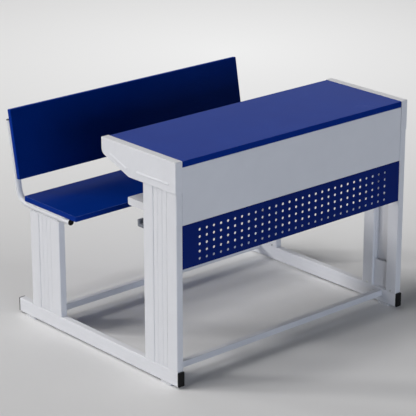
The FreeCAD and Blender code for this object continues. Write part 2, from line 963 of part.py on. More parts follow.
post_screw_length = post_wall + fit_clearance + spigot_wall
sheet_screw_places = tray_screw_places + lower_panel_screw_places + [panel_post_screw, panel_arm_screw]
post_screws = screw_group(post_screw_places, outwards, post_screw_length)
arm_screws = screw_group(arm_screw_places, outwards, tenon_screw_length)
desktop_screws = screw_group(desktop_screw_places, upwards, desktop_screw_length)
angle_screws = screw_group(angle_screw_places, outwards, angle_thickness + board_screw_bite)
backrest_screws = screw_group(backrest_screw_places, forwards, board_screw_length)

pieces["column_screws"] = Part.makeCompound(post_screws + arm_screws)
pieces["desktop_screws"] = Part.makeCompound(desktop_screws + angle_screws)
pieces["panel_screws"] = Part.makeCompound(screw_group(sheet_screw_places, outwards, sheet_screw_length))
pieces["seat_screws"] = Part.makeCompound(screw_group(seat_screw_places, upwards, board_screw_length))
pieces["backrest_screws"] = Part.makeCompound([leaned(solid) for solid in backrest_screws])
pieces["hook_screws"] = Part.makeCompound(screw_group([hook_screw_place], forwards, sheet_screw_length))


# Move the origin under the middle of the object and write one file for each piece

rear_limit = upright_top.y + plug_lip * math.sin(lean_angle) + tube_radius * math.cos(lean_angle)
depth_middle = (rear_limit - cap_lip) / 2

os.makedirs("parts", exist_ok=True)
for name, shape in pieces.items():
    shape.translate(Vector(0, -depth_middle, 0))
    shape.exportStep(os.path.join("parts", name + ".step"))
print(len(pieces), "pieces, desk front at y =", round(-depth_middle, 3))
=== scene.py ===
# %% [markdown]
# # A school desk with bench
# Two steel end frames carry a desk for two pupils and the bench behind it, and two square rails
# hold the frames apart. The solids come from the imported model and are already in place, in metres,
# with the floor at z = 0. So nothing is moved here: this lesson lights the desk, gives each finish
# its own material, and adds the small welds that the maker leaves where steel meets steel.

# %% Load the desk
import math

import bmesh
import bpy
from mathutils import Matrix, Vector


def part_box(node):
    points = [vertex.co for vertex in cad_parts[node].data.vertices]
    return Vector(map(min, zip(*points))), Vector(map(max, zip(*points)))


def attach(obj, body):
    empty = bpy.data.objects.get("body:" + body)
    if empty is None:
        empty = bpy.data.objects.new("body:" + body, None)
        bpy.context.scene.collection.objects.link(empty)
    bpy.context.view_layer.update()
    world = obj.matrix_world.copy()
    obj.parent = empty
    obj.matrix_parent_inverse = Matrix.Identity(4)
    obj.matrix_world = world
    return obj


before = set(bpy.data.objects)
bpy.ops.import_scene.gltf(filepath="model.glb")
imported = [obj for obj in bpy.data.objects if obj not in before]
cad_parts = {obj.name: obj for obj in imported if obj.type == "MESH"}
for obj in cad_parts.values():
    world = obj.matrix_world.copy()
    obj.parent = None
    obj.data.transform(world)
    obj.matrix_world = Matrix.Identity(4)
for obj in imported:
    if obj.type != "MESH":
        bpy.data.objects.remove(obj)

scene = bpy.context.scene
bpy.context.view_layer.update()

# %% [markdown]
# ## The camera
# The desk is seen from its front left corner and a little above, through a long lens that keeps
# upright posts nearly parallel. A camera could be placed by eye, but a few straight edges fix it
# exactly, so the values below are a place, three turns and a focal length counted in picture
# widths.

# %% Camera
camera_place = Vector((-4.077, -4.6351, 2.574))
camera_yaw = math.radians(48.61)
camera_pitch = math.radians(19.62)
camera_roll = math.radians(-0.08)
focal_in_picture_widths = 4.5587

look = Vector((
    math.cos(camera_yaw) * math.cos(camera_pitch),
    math.sin(camera_yaw) * math.cos(camera_pitch),
    -math.sin(camera_pitch),
))
lens = bpy.data.cameras.new("desk_camera")
lens.lens = focal_in_picture_widths * lens.sensor_width
camera = bpy.data.objects.new("desk_camera", lens)
aim = look.to_track_quat("-Z", "Y").to_matrix().to_4x4()
camera.matrix_world = Matrix.Translation(camera_place) @ aim @ Matrix.Rotation(camera_roll, 4, "Z")
scene.collection.objects.link(camera)
scene.camera = camera
scene.view_settings.view_transform = "Standard"
print("lens:", round(lens.lens, 1), "mm")

# %% [markdown]
# ## Helpers for building materials
# A material is a small network of nodes. Writing each node out by hand soon hides the idea behind
# it, so one helper places a node, fills its sockets and links the ones that are given another
# node's output. The others are short names for arithmetic.

# %% Node helpers
def place_node(tree, kind, inputs, **settings):
    """Add a node; each input is a plain value, or an output of another node to link to."""
    node = tree.nodes.new(kind)
    for name, value in settings.items():
        setattr(node, name, value)
    for key, value in inputs.items():
        if isinstance(value, bpy.types.NodeSocket):
            tree.links.new(value, node.inputs[key])
        else:
            node.inputs[key].default_value = value
    return node


def reckon(tree, operation, first, second=0.0):
    """One step of arithmetic."""
    return place_node(tree, "ShaderNodeMath", {0: first, 1: second}, operation=operation).outputs[0]


def sum_of(tree, first, second):
    """Two values added."""
    return reckon(tree, "ADD", first, second)


def product(tree, first, second):
    """Two values multiplied."""
    return reckon(tree, "MULTIPLY", first, second)


def stretched(tree, value, from_low, from_high, to_low, to_high):
    """A value moved from one range to another and held inside it."""
    ranges = {1: from_low, 2: from_high, 3: to_low, 4: to_high}
    return place_node(tree, "ShaderNodeMapRange", {0: value, **ranges}).outputs[0]


print("node helpers ready")

# %% [markdown]
# Most of the variation and wear on the desk starts from noise. It is laid out in the desk's own
# metres and not in shares of a piece, so that a mark keeps its real size on large and small pieces
# alike. Noise seldom uses its whole range from 0 to 1, so the range that it does use is named once.

# %% Noise helpers
noise_low = 0.3
noise_high = 0.7


def place_on_desk(tree):
    """The point being shaded, in metres in the desk's own frame."""
    return place_node(tree, "ShaderNodeTexCoord", {}).outputs["Object"]


def noise_at(tree, points, scale, detail):
    """Soft noise from 0 to 1 at the given points."""
    inputs = {"Vector": points, "Scale": scale, "Detail": detail}
    return place_node(tree, "ShaderNodeTexNoise", inputs).outputs[0]


def streaky_noise(tree, per_metre, detail, turn_degrees=0.0):
    """Noise with its own count per metre along each axis, turned about the upright axis."""
    inputs = {
        "Vector": place_on_desk(tree),
        "Rotation": (0.0, 0.0, math.radians(turn_degrees)),
        "Scale": per_metre,
    }
    points = place_node(tree, "ShaderNodeMapping", inputs).outputs[0]
    return noise_at(tree, points, 1.0, detail)


def from_noise(tree, noise, low, high):
    """A noise's usual range turned into a value between low and high."""
    return stretched(tree, noise, noise_low, noise_high, low, high)


print("noise range:", noise_low, "to", noise_high)

# %% [markdown]
# ## Shared effects
# Several finishes on the desk age in the same way: edges get rubbed, feet scuff whatever is near
# the floor, cleaning cloths leave faint clouds, and every coating has a fine grain. Each effect is
# a node group, built once and placed in a material with its own values, so that a change to the
# effect reaches every finish.

# %% Group helpers
def new_group(name, inputs, outputs):
    """An empty node group with named sockets; inputs give each socket's first value."""
    group = bpy.data.node_groups.new(name, "ShaderNodeTree")
    for socket, value in inputs.items():
        made = group.interface.new_socket(socket, in_out="INPUT", socket_type="NodeSocketFloat")
        made.default_value = value
    for socket, kind in outputs.items():
        group.interface.new_socket(socket, in_out="OUTPUT", socket_type=kind)
    source = group.nodes.new("NodeGroupInput")
    sink = group.nodes.new("NodeGroupOutput")
    return group, source.outputs, sink.inputs


def effect(tree, group, **values):
    """Place a shared effect in a material; words of a socket's name are joined by underscores."""
    node = place_node(tree, "ShaderNodeGroup", {}, node_tree=group)
    for key, value in values.items():
        node.inputs[key.replace("_", " ").capitalize()].default_value = value
    return node.outputs


print("group helpers ready")

# %% [markdown]
# ### Rubbed edges
# A painted or moulded edge is never perfectly sharp, and hands and shoes polish it first. The mask
# could be painted by hand, but the shader can find edges by itself: it compares the surface's
# direction with the same direction smoothed over a small radius. On a flat face the two agree, and
# on an edge they part. The smoothed direction is kept too, because it rounds the edge.

# %% Rubbed edges group
edge_samples = 6
agreement_on_flat = 0.995
agreement_on_edge = 0.85
wear_per_metre = 45.0
wear_detail = 4.0
wear_low = 0.35
wear_high = 0.65
least_wear = 0.35

rubbed_edges, given, result = new_group(
    "rubbed_edges", {"Radius": 0.001}, {"Edge": "NodeSocketFloat", "Normal": "NodeSocketVector"}
)
softened = place_node(
    rubbed_edges, "ShaderNodeBevel", {"Radius": given["Radius"]}, samples=edge_samples
).outputs[0]
facing = place_node(rubbed_edges, "ShaderNodeNewGeometry", {}).outputs["Normal"]
agreement = place_node(
    rubbed_edges, "ShaderNodeVectorMath", {0: softened, 1: facing}, operation="DOT_PRODUCT"
).outputs["Value"]
bare_edge = stretched(rubbed_edges, agreement, agreement_on_flat, agreement_on_edge, 0.0, 1.0)
patches = noise_at(rubbed_edges, place_on_desk(rubbed_edges), wear_per_metre, wear_detail)
worn_share = stretched(rubbed_edges, patches, wear_low, wear_high, least_wear, 1.0)
rubbed_edges.links.new(product(rubbed_edges, bare_edge, worn_share), result["Edge"])
rubbed_edges.links.new(softened, result["Normal"])
print("effect:", rubbed_edges.name)

# %% [markdown]
# ### Clouds
# No coating is quite even, and cleaning cloths leave large, faint patches on it. One noise could
# stand for them, but then all patches would be of one size. So two are added up: one of the given
# patch size, and a weaker one of a quarter of it.

# %% Clouds group
large_weight = 0.65
small_weight = 0.35
small_patches_per_large = 4.0
cloud_detail = 3.0

clouds, given, result = new_group("clouds", {"Patch size": 0.2}, {"Cloud": "NodeSocketFloat"})
patch_count = reckon(clouds, "DIVIDE", 1.0, given["Patch size"])
small_count = product(clouds, patch_count, small_patches_per_large)
large = noise_at(clouds, place_on_desk(clouds), patch_count, cloud_detail)
small = noise_at(clouds, place_on_desk(clouds), small_count, cloud_detail)
both = sum_of(clouds, product(clouds, large, large_weight), product(clouds, small, small_weight))
clouds.links.new(from_noise(clouds, both, 0.0, 1.0), result["Cloud"])
print("effect:", clouds.name)

# %% [markdown]
# ### Fine grain
# Powder paint dries with a faint orange skin, moulded plastic copies the etched face of its mould,
# and laminate is pressed against a pearled plate. All three are a fine, even relief. It is far too
# shallow to model, so one group gives its height for a bump, and each finish chooses the size of
# the grain.

# %% Fine grain group
bump_weight = 0.6
cell_weight = 0.4
grain_detail = 2.0

fine_grain, given, result = new_group(
    "fine_grain", {"Grain size": 0.001}, {"Height": "NodeSocketFloat"}
)
grain_count = reckon(fine_grain, "DIVIDE", 1.0, given["Grain size"])
bumps = noise_at(fine_grain, place_on_desk(fine_grain), grain_count, grain_detail)
cells = place_node(
    fine_grain, "ShaderNodeTexVoronoi",
    {"Vector": place_on_desk(fine_grain), "Scale": grain_count},
    feature="SMOOTH_F1",
).outputs["Distance"]
relief = sum_of(
    fine_grain, product(fine_grain, bumps, bump_weight), product(fine_grain, cells, cell_weight)
)
fine_grain.links.new(relief, result["Height"])
print("effect:", fine_grain.name)

# %% [markdown]
# ### Painted seam shade
# Where two pieces meet, the narrow gap lies in shade and draws a fine dark line. This shade is
# painted into the colour. The lines could be painted along every joint, but the shader can feel
# for such places by itself: it sends short rays out from the surface and counts those that are
# stopped close by.

# %% Painted seam shade group
seam_samples = 6
openness_in_gap = 0.25
openness_outside = 0.6

painted_seam_shade, given, result = new_group("painted_seam_shade", {"Reach": 0.005}, {"Seam": "NodeSocketFloat"})
openness = place_node(
    painted_seam_shade, "ShaderNodeAmbientOcclusion", {"Distance": given["Reach"]}, samples=seam_samples
).outputs["AO"]
# Painted shade: the fewer rays escape, the darker the colour becomes
shade_in_gap = stretched(painted_seam_shade, openness, openness_in_gap, openness_outside, 1.0, 0.0)
painted_seam_shade.links.new(shade_in_gap, result["Seam"])
print("effect:", painted_seam_shade.name)

# %% [markdown]
# ### Scuffs near the floor
# Shoes and mops reach only so high, and the height above the floor already says where. So there is
# no need to paint the marks on: the mask is strongest at the floor, fades out at the given reach,
# and is broken into streaks that run along the rails.

# %% Floor scuffs group
streaks_per_metre = (20.0, 20.0, 120.0)
streak_detail = 5.0
streak_starts = 0.45
streak_full = 0.75

floor_scuffs, given, result = new_group(
    "floor_scuffs", {"Reach": 0.1}, {"Scuff": "NodeSocketFloat"}
)
scuff_points = place_on_desk(floor_scuffs)
above_floor = place_node(floor_scuffs, "ShaderNodeSeparateXYZ", {0: scuff_points}).outputs["Z"]
height_share = reckon(floor_scuffs, "DIVIDE", above_floor, given["Reach"])
nearness = stretched(floor_scuffs, height_share, 0.0, 1.0, 1.0, 0.0)
streak_noise = streaky_noise(floor_scuffs, streaks_per_metre, streak_detail)
streaks = stretched(floor_scuffs, streak_noise, streak_starts, streak_full, 0.0, 1.0)
floor_scuffs.links.new(product(floor_scuffs, nearness, streaks), result["Scuff"])
print("effect:", floor_scuffs.name)

# %% [markdown]
# ### Hairlines
# Rulers and pencil cases draw hair-thin lines on a desktop. A noise that is stretched far in one
# direction makes long threads, and keeping only the narrow band round its middle value thins them.
# Two sets that cross at an angle look like use rather than like brushed metal, and a slow noise
# leaves parts of the board clean. Each set below is a turn in degrees and a count of threads per
# metre along each axis.

# %% Hairlines group
thread_sets = (
    (24.0, (14.0, 260.0, 260.0)),
    (-61.0, (18.0, 320.0, 320.0)),
)
thread_detail = 1.0
noise_middle = 0.5
line_half_width = 0.012
used_parts_per_metre = 6.0
used_parts_detail = 2.0
clean_until = 0.5
used_from = 0.7

hairlines, given, result = new_group("hairlines", {"Amount": 0.5}, {"Line": "NodeSocketFloat"})
line_sets = []
for turn_degrees, threads_per_metre in thread_sets:
    threads = streaky_noise(hairlines, threads_per_metre, thread_detail, turn_degrees)
    off_middle = reckon(hairlines, "ABSOLUTE", reckon(hairlines, "SUBTRACT", threads, noise_middle))
    line_sets.append(stretched(hairlines, off_middle, 0.0, line_half_width, 1.0, 0.0))
use = noise_at(hairlines, place_on_desk(hairlines), used_parts_per_metre, used_parts_detail)
used_parts = stretched(hairlines, use, clean_until, used_from, 0.0, 1.0)
all_lines = product(hairlines, sum_of(hairlines, *line_sets), used_parts)
hairlines.links.new(product(hairlines, all_lines, given["Amount"]), result["Line"])
print("effect:", hairlines.name)

# %% [markdown]
# ## Finishes
# Colours are easier to choose as screen values from 0 to 255, but the shader works in linear
# light, so a helper undoes the brightness curve that every screen applies: a short straight part
# for the darkest values, and a power for the rest. The other helpers lay one colour over another
# where a mask says so.

# %% Colour helpers
full_channel = 255
dark_limit = 0.04045
dark_slope = 12.92
curve_offset = 0.055
curve_power = 2.4


def linear_light(share):
    """A screen's standard brightness curve undone, for one channel from 0 to 1."""
    if share <= dark_limit:
        return share / dark_slope
    return ((share + curve_offset) / (1 + curve_offset)) ** curve_power


def screen_colour(red, green, blue):
    """A colour from 0 to 255 as it looks on a screen, in linear light with full alpha."""
    return (*[linear_light(channel / full_channel) for channel in (red, green, blue)], 1.0)


def mixed(tree, share, first, second):
    """A colour between two colours."""
    node = place_node(tree, "ShaderNodeMix", {0: share, 6: first, 7: second}, data_type="RGBA")
    return node.outputs[2]


def tinted(tree, base, mask, colour, strength):
    """A base colour with another colour laid over it where the mask is set."""
    return mixed(tree, product(tree, mask, strength), base, colour)


def from_mask(tree, mask, low, high):
    """A mask from 0 to 1 turned into a value between low and high."""
    return stretched(tree, mask, 0.0, 1.0, low, high)


print("middle grey in linear light:", round(screen_colour(128, 128, 128)[0], 3))

# %% [markdown]
# Each finish below starts the same way: a new material with its shader, and a bump that stands on
# the rounded edge normal. What differs is the colour, the gloss, the grain and the wear, so those
# stay in the finish's own cell.

# %% Start of a finish
def new_finish(name, edge_radius, gloss):
    """A material with its shader and the rubbed-edge effect already placed."""
    finish = bpy.data.materials.new(name)
    finish.use_nodes = True
    tree = finish.node_tree
    shader = tree.nodes["Principled BSDF"]
    shader.inputs["Specular IOR Level"].default_value = gloss
    edges = effect(tree, rubbed_edges, radius=edge_radius)
    return finish, tree, shader, edges


def raise_grain(tree, shader, edges, height, depth):
    """Bump the surface by a height from 0 to 1, worth this depth in metres."""
    inputs = {"Height": height, "Normal": edges["Normal"], "Distance": depth}
    bump = place_node(tree, "ShaderNodeBump", inputs)
    tree.links.new(bump.outputs[0], shader.inputs["Normal"])


def feed(tree, shader, **values):
    """Link values that change over the surface to the shader's sockets."""
    for key, value in values.items():
        tree.links.new(value, shader.inputs[key.replace("_", " ").title()])


print("finish helpers ready")

# %% [markdown]
# ### Powder coat
# The frames, rails, tubes and sheet panels are steel with baked powder paint: an even satin skin
# with a slight orange-peel relief, thinner on edges, and scuffed at the height of shoes. Grey and
# blue paint differ only in colour and gloss, so one function makes both.

# %% Powder coat
scuffed_paint_dulling = 0.12


def powder_coat(name, deep, pale, edge, scuff_and_shade, gloss):
    """Baked powder paint; deep and pale are the ends of its faint colour variation."""
    finish, tree, shader, edges = new_finish(name, edge_radius=0.0012, gloss=gloss)
    cloud = effect(tree, clouds, patch_size=0.22)["Cloud"]
    grain = effect(tree, fine_grain, grain_size=0.0016)["Height"]
    marks = effect(tree, floor_scuffs, reach=0.11)["Scuff"]
    # Painted shade: the seam mask darkens the paint in narrow gaps, where shade falls
    seam_shade = effect(tree, painted_seam_shade, reach=0.005)["Seam"]
    painted = mixed(tree, cloud, deep, pale)
    rubbed = tinted(tree, painted, edges["Edge"], edge, strength=0.5)
    scuffed = tinted(tree, rubbed, marks, scuff_and_shade, strength=0.07)
    seam_shaded = tinted(tree, scuffed, seam_shade, scuff_and_shade, strength=0.3)
    sheen = from_mask(tree, cloud, low=0.40, high=0.50)
    dull = sum_of(tree, sheen, product(tree, marks, scuffed_paint_dulling))
    feed(tree, shader, base_color=seam_shaded, roughness=dull)
    raise_grain(tree, shader, edges, grain, depth=0.00006)
    return finish


frame_paint = powder_coat(
    "frame_powder_coat",
    deep=screen_colour(216, 217, 221),
    pale=screen_colour(220, 221, 225),
    edge=screen_colour(230, 231, 234),
    scuff_and_shade=screen_colour(120, 118, 116),
    gloss=0.3,
)
panel_paint = powder_coat(
    "blue_powder_coat",
    deep=screen_colour(3, 29, 99),
    pale=screen_colour(5, 33, 106),
    edge=screen_colour(12, 44, 126),
    scuff_and_shade=screen_colour(30, 32, 50),
    gloss=0.06,
)
print("paints:", frame_paint.name, panel_paint.name)

# %% [markdown]
# ### Moulded plastic
# The desk arms, rail caps, tube plugs, glide pads and bag hooks are moulded. Their skin copies an
# etched mould and has a finer grain than powder paint. Handling polishes the edges, so the edges
# get shinier and not bare. Black parts also turn slightly grey where they rub.

# %% Moulded plastic
grime_in_scuffs = 0.06
shade_in_gaps = 0.35
smoother_patches = 0.04
rougher_patches = 0.05
edge_polish = -0.12


def moulded_plastic(name, deep, pale, edge, grime_and_shade, grain_size, roughness):
    """A moulded part's skin with polished edges."""
    finish, tree, shader, edges = new_finish(name, edge_radius=0.0009, gloss=0.2)
    cloud = effect(tree, clouds, patch_size=0.09)["Cloud"]
    grain = effect(tree, fine_grain, grain_size=grain_size)["Height"]
    marks = effect(tree, floor_scuffs, reach=0.07)["Scuff"]
    # Painted shade: the seam mask darkens the plastic in narrow gaps and under ribs, added to the
    # scuff grime
    seam_shade = effect(tree, painted_seam_shade, reach=0.004)["Seam"]
    moulded = mixed(tree, cloud, deep, pale)
    handled = tinted(tree, moulded, edges["Edge"], edge, strength=0.4)
    scuffed_share = product(tree, marks, grime_in_scuffs)
    grime_and_shade_share = sum_of(tree, scuffed_share, product(tree, seam_shade, shade_in_gaps))
    grimy_and_shaded = mixed(tree, grime_and_shade_share, handled, grime_and_shade)
    dull = from_mask(tree, cloud, low=roughness - smoother_patches, high=roughness + rougher_patches)
    polished = sum_of(tree, dull, product(tree, edges["Edge"], edge_polish))
    feed(tree, shader, base_color=grimy_and_shaded, roughness=polished)
    raise_grain(tree, shader, edges, grain, depth=0.00005)
    return finish


arm_plastic = moulded_plastic(
    "arm_plastic",
    deep=screen_colour(217, 218, 222),
    pale=screen_colour(221, 222, 226),
    edge=screen_colour(230, 231, 234),
    grime_and_shade=screen_colour(128, 126, 124),
    grain_size=0.0011,
    roughness=0.45,
)
cap_plastic = moulded_plastic(
    "black_cap_plastic",
    deep=screen_colour(4, 4, 6),
    pale=screen_colour(8, 8, 11),
    edge=screen_colour(30, 30, 34),
    grime_and_shade=screen_colour(20, 19, 18),
    grain_size=0.0009,
    roughness=0.42,
)
pad_plastic = moulded_plastic(
    "glide_pad_plastic",
    deep=screen_colour(200, 201, 204),
    pale=screen_colour(212, 213, 216),
    edge=screen_colour(224, 225, 228),
    grime_and_shade=screen_colour(120, 118, 116),
    grain_size=0.0009,
    roughness=0.48,
)
hook_plastic = moulded_plastic(
    "bag_hook_plastic",
    deep=screen_colour(112, 116, 124),
    pale=screen_colour(121, 125, 133),
    edge=screen_colour(140, 144, 152),
    grime_and_shade=screen_colour(62, 60, 58),
    grain_size=0.0010,
    roughness=0.46,
)
print("plastics:", arm_plastic.name, cap_plastic.name, pad_plastic.name, hook_plastic.name)

# %% [markdown]
# ### Blue laminate
# The top, the seat and the backrest are chipboard faced with blue laminate. A plain glossy blue
# would look like glass, because real laminate is pressed with a fine pearl that spreads the
# reflection. Cloths leave long, faint swipes along the board, so the roughness gets a noise
# stretched along X, and hairlines show on top.

# %% Blue laminate
pearl_speck = screen_colour(12, 62, 162)
pearl_strength = 0.15
hairline_colour = screen_colour(56, 92, 180)
hairline_dulling = 0.1
rubbed_laminate = screen_colour(30, 66, 170)
swipes_per_metre = (3.0, 22.0, 22.0)
swipe_detail = 4.0


def board_laminate(name, deep, pale, gloss, hairline_amount):
    """Pearled blue laminate with wiping marks and hairlines."""
    finish, tree, shader, edges = new_finish(name, edge_radius=0.0006, gloss=gloss)
    cloud = effect(tree, clouds, patch_size=0.35)["Cloud"]
    pearl = effect(tree, fine_grain, grain_size=0.0022)["Height"]
    lines = effect(tree, hairlines, amount=hairline_amount)["Line"]
    swipes = streaky_noise(tree, swipes_per_metre, swipe_detail)
    faced = mixed(tree, cloud, deep, pale)
    speckled = mixed(tree, from_noise(tree, pearl, 0.0, pearl_strength), faced, pearl_speck)
    lined = tinted(tree, speckled, lines, hairline_colour, strength=0.3)
    rubbed = tinted(tree, lined, edges["Edge"], rubbed_laminate, strength=0.25)
    satin = from_noise(tree, swipes, low=0.19, high=0.23)
    dull = sum_of(tree, satin, product(tree, lines, hairline_dulling))
    feed(tree, shader, base_color=rubbed, roughness=dull)
    raise_grain(tree, shader, edges, pearl, depth=0.00007)
    return finish


desk_laminate = board_laminate(
    "desktop_laminate",
    deep=screen_colour(2, 49, 146),
    pale=screen_colour(4, 54, 153),
    gloss=0.015,
    hairline_amount=0.8,
)
# The seat is the top's laminate with a darker colour: painted shade from the desk above and in front
# of it
seat_laminate = board_laminate(
    "seat_laminate",
    deep=screen_colour(1, 38, 118),
    pale=screen_colour(3, 42, 126),
    gloss=0.006,
    hairline_amount=0.5,
)
# The backrest is the top's laminate with a darker colour still: painted shade, since the desk keeps
# the front light off it
backrest_laminate = board_laminate(
    "backrest_laminate",
    deep=screen_colour(1, 33, 102),
    pale=screen_colour(3, 37, 110),
    gloss=0.014,
    hairline_amount=0.5,
)
print("laminates:", desk_laminate.name, seat_laminate.name, backrest_laminate.name)

# %% [markdown]
# ### Edging strip
# A plastic strip is glued round each board and rounded over. It is drawn through a die, so it
# keeps fine lines along its length, one beside the other across the board's thickness. A noise in
# one dimension draws them. The direction across the board is straight up for a level board and
# leans with the backrest, so it is given to the function. The three strips are one plastic; their
# tones differ piece by piece as painted light and shade, and the backrest's strip is a shade
# lighter than the others. On the desktop's strip the light edge colour is wear; on the seat and the
# backrest it is a painted highlight, a thin light line along the rounded edges.

# %% Edging strip
backrest_lean = math.radians(10.0)
through_level = (0.0, 0.0, 1.0)
through_backrest = (0.0, math.cos(backrest_lean), -math.sin(backrest_lean))
drawn_lines_per_metre = 900.0
drawn_line_detail = 2.0
drawn_line_colour = screen_colour(14, 62, 166)
drawn_line_strength = 0.2


def edging_strip(name, through_board, deep, pale, edge):
    """Blue edging with drawn lines; through_board points across the board's thickness."""
    finish, tree, shader, edges = new_finish(name, edge_radius=0.0018, gloss=0.015)
    cloud = effect(tree, clouds, patch_size=0.15)["Cloud"]
    grain = effect(tree, fine_grain, grain_size=0.0014)["Height"]
    directions = {0: place_on_desk(tree), 1: through_board}
    across = place_node(tree, "ShaderNodeVectorMath", directions, operation="DOT_PRODUCT")
    drawn = place_node(
        tree, "ShaderNodeTexNoise",
        {
            "W": across.outputs["Value"],
            "Scale": drawn_lines_per_metre,
            "Detail": drawn_line_detail,
        },
        noise_dimensions="1D",
    ).outputs[0]
    strip = mixed(tree, cloud, deep, pale)
    line_share = from_noise(tree, drawn, 0.0, drawn_line_strength)
    lined = mixed(tree, line_share, strip, drawn_line_colour)
    # Edge colour: wear on the desktop's strip, a painted highlight on the seat's and the backrest's
    rubbed = tinted(tree, lined, edges["Edge"], edge, strength=0.8)
    feed(tree, shader, base_color=rubbed, roughness=from_noise(tree, drawn, low=0.34, high=0.42))
    raise_grain(tree, shader, edges, sum_of(tree, grain, drawn), depth=0.00004)
    return finish


desk_edging = edging_strip(
    "desktop_edging_strip", through_level,
    deep=screen_colour(4, 38, 117),
    pale=screen_colour(7, 42, 126),
    edge=screen_colour(30, 66, 170),
)
# Painted highlight: the seat's pale edge colour is a light line along its rounded edges
seat_edging = edging_strip(
    "seat_edging_strip", through_level,
    deep=screen_colour(3, 38, 118),
    pale=screen_colour(6, 42, 127),
    edge=screen_colour(165, 192, 250),
)
# Painted light: the backrest's lighter strip and its pale edge colour
backrest_edging = edging_strip(
    "backrest_edging_strip", through_backrest,
    deep=screen_colour(3, 43, 132),
    pale=screen_colour(6, 48, 142),
    edge=screen_colour(60, 100, 206),
)
print("edgings:", desk_edging.name, seat_edging.name, backrest_edging.name)

# %% [markdown]
# ### Zinc-plated screws
# The screws are pressed steel with a thin zinc plating, which is a dull metal with a hint of blue
# and straw where its passive layer varies. Metal gets its colour from reflection, so Metallic is a
# plain 1 and only the tint and roughness vary.

# %% Zinc plating
blue_zinc = screen_colour(176, 182, 190)
straw_zinc = screen_colour(198, 196, 186)
bright_zinc = screen_colour(216, 217, 219)


def zinc_plating(name):
    """Passivated zinc on small fasteners."""
    finish, tree, shader, edges = new_finish(name, edge_radius=0.0004, gloss=0.5)
    cloud = effect(tree, clouds, patch_size=0.012)["Cloud"]
    grain = effect(tree, fine_grain, grain_size=0.0005)["Height"]
    plated = mixed(tree, cloud, blue_zinc, straw_zinc)
    rubbed = tinted(tree, plated, edges["Edge"], bright_zinc, strength=0.5)
    shader.inputs["Metallic"].default_value = 1.0
    feed(tree, shader, base_color=rubbed, roughness=from_mask(tree, cloud, low=0.30, high=0.44))
    raise_grain(tree, shader, edges, grain, depth=0.00002)
    return finish


screw_zinc = zinc_plating("zinc_plating")
print("metal:", screw_zinc.name)

# %% [markdown]
# ## Dress the desk
# Every solid already carries the name of its piece, and the pieces of one finish have names that
# end alike. So the right finish is found from the end of the name, and whatever is left over is
# painted steel.

# %% Give each piece its finish
finish_by_ending = {
    "_screws": screw_zinc,
    "_cap": cap_plastic,
    "_plug": cap_plastic,
    "_pad": pad_plastic,
    "_hook": hook_plastic,
    "_desk_arm": arm_plastic,
    "desktop_edging": desk_edging,
    "seat_edging": seat_edging,
    "backrest_edging": backrest_edging,
    "perforated_panel": panel_paint,
    "desktop": desk_laminate,
    "seat": seat_laminate,
    "backrest": backrest_laminate,
}


def finish_for(piece_name):
    """The finish whose ending fits the piece's name."""
    for ending, finish in finish_by_ending.items():
        if piece_name.endswith(ending):
            return finish
    return frame_paint


for piece_name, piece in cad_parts.items():
    piece.data.materials.clear()
    piece.data.materials.append(finish_for(piece_name))
print("dressed:", len(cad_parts), "pieces")

# %% [markdown]
# ## Welds
# The square cross rails are welded all round to the base rails, and the bent seat tubes are welded
# along both sides to the plates that they touch. A weld is a string of overlapping puddles. A plain
# tube would look extruded, so the bead below is swept along its path with a radius that swells once
# for each puddle. First come the points of the path and the ring that stands at each of them.

# %% Weld path helpers
puddle_length = 0.0032
bead_sides = 8
rings_per_puddle = 6
fewest_steps = 2


def points_along(corners, closed):
    """Evenly spaced points along straight runs, several for each puddle."""
    ends = corners[1:] + corners[:1] if closed else corners[1:]
    points = []
    for start, end in zip(corners, ends):
        count = max(fewest_steps, round((end - start).length / puddle_length * rings_per_puddle))
        points += [start.lerp(end, step / count) for step in range(count)]
    return points if closed else points + [corners[-1]]


def ring_round(mesh, point, along, radius):
    """The corners of a ring that stands square to the path."""
    sideways = along.orthogonal().normalized()
    across = along.cross(sideways)
    turns = [2 * math.pi * side / bead_sides for side in range(bead_sides)]
    return [
        mesh.verts.new(point + (sideways * math.cos(turn) + across * math.sin(turn)) * radius)
        for turn in turns
    ]


print("rings to a metre of weld:", round(rings_per_puddle / puddle_length))

# %% [markdown]
# The bead itself joins each ring to the next. Round a rail it closes on itself, and along a tube it
# tapers off at its two ends, as a weld does where the welder starts and stops.

# %% Weld bead helpers
puddle_swell = 0.16
taper_per_ring = 0.25


def bead_from(mesh, name):
    """The finished mesh as a painted piece of its own."""
    bmesh.ops.recalc_face_normals(mesh, faces=mesh.faces)
    bead_mesh = bpy.data.meshes.new(name)
    mesh.to_mesh(bead_mesh)
    mesh.free()
    bead_mesh.shade_smooth()
    bead_mesh.materials.append(frame_paint)
    bead = bpy.data.objects.new(name, bead_mesh)
    scene.collection.objects.link(bead)
    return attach(bead, "root")


def weld_bead(name, corners, radius, closed):
    """Sweep a swelling ring along the corners."""
    points = points_along(corners, closed)
    mesh = bmesh.new()
    rings = []
    for index, point in enumerate(points):
        before = points[index - 1] if closed or index > 0 else point
        after = points[(index + 1) % len(points)] if closed or index + 1 < len(points) else point
        rings_to_end = min(index, len(points) - 1 - index)
        taper = 1.0 if closed else min(1.0, taper_per_ring * (1 + rings_to_end))
        swell = 1 + puddle_swell * math.cos(2 * math.pi * index / rings_per_puddle)
        rings.append(ring_round(mesh, point, (after - before).normalized(), radius * taper * swell))
    pairs = list(zip(rings, rings[1:]))
    if closed:
        pairs.append((rings[-1], rings[0]))
    for first, second in pairs:
        for side in range(bead_sides):
            next_side = (side + 1) % bead_sides
            mesh.faces.new((first[side], first[next_side], second[next_side], second[side]))
    if not closed:
        mesh.faces.new(list(reversed(rings[0])))
        mesh.faces.new(rings[-1])
    return bead_from(mesh, name)


print("weld puddle:", puddle_length, "m long")

